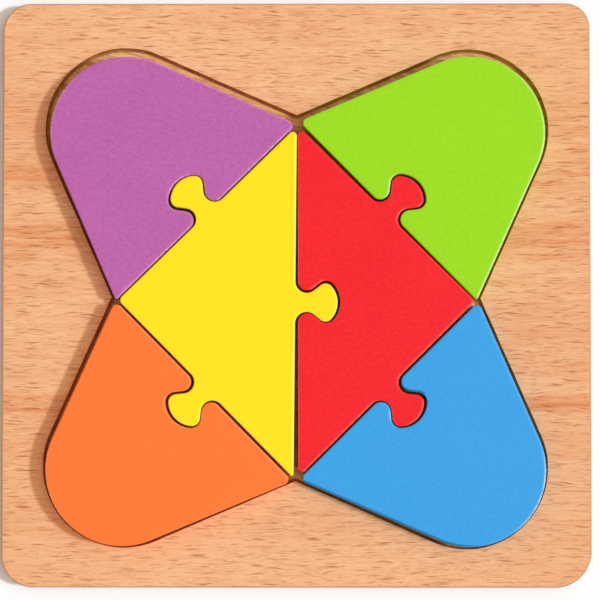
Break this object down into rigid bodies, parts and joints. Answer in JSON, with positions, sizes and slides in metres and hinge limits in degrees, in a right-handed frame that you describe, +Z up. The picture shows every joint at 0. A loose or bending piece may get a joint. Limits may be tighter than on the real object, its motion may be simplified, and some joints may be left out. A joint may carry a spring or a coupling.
{
  "type": "jigsaw shape board",
  "caption": "Square wooden board with a shallow four-lobed recess that holds loose painted jigsaw pieces, joined by knobs, in a butterfly-like shape.",
  "frame": {"origin": "under the middle of the board, on the surface that it lies on", "axes": "+Z up, out of the painted faces; +X to the right and +Y to the top of the puzzle as pictured"},
  "size_m": [0.147, 0.146, 0.0103],
  "materials": {
    "beech_frame": "bare sanded beech ply, clear matt, recess wall scorched brown by the cutter",
    "beech_back": "bare sanded beech ply, clear matt",
    "yellow_paint": "wood with a thin satin yellow paint on its top and sides, worn thin on the edges, bare underneath",
    "red_paint": "wood with a thin satin red paint on its top and sides, worn thin on the edges, bare underneath",
    "purple_paint": "wood with a thin satin purple paint on its top and sides, worn thin on the edges, bare underneath",
    "green_paint": "wood with a thin satin green paint on its top and sides, worn thin on the edges, bare underneath",
    "orange_paint": "wood with a thin satin orange paint on its top and sides, worn thin on the edges, bare underneath",
    "blue_paint": "wood with a thin satin blue paint on its top and sides, worn thin on the edges, bare underneath"
  },
  "bodies": {
    "board": {"frame_board": "beech_frame", "back_board": "beech_back"},
    "yellow": {"yellow_piece": "yellow_paint"},
    "red": {"red_piece": "red_paint"},
    "purple": {"purple_piece": "purple_paint"},
    "green": {"green_piece": "green_paint"},
    "orange": {"orange_piece": "orange_paint"},
    "blue": {"blue_piece": "blue_paint"}
  },
  "joints": [
    {"name": "yellow_lift", "type": "slide", "parent": "board", "child": "yellow", "axis": [0, 0, 1], "range_m": [0, 0.03]},
    {"name": "red_lift", "type": "slide", "parent": "board", "child": "red", "axis": [0, 0, 1], "range_m": [0, 0.03]},
    {"name": "purple_lift", "type": "slide", "parent": "board", "child": "purple", "axis": [0, 0, 1], "range_m": [0, 0.03]},
    {"name": "green_lift", "type": "slide", "parent": "board", "child": "green", "axis": [0, 0, 1], "range_m": [0, 0.03]},
    {"name": "orange_lift", "type": "slide", "parent": "board", "child": "orange", "axis": [0, 0, 1], "range_m": [0, 0.03]},
    {"name": "blue_lift", "type": "slide", "parent": "board", "child": "blue", "axis": [0, 0, 1], "range_m": [0, 0.03]}
  ]
}
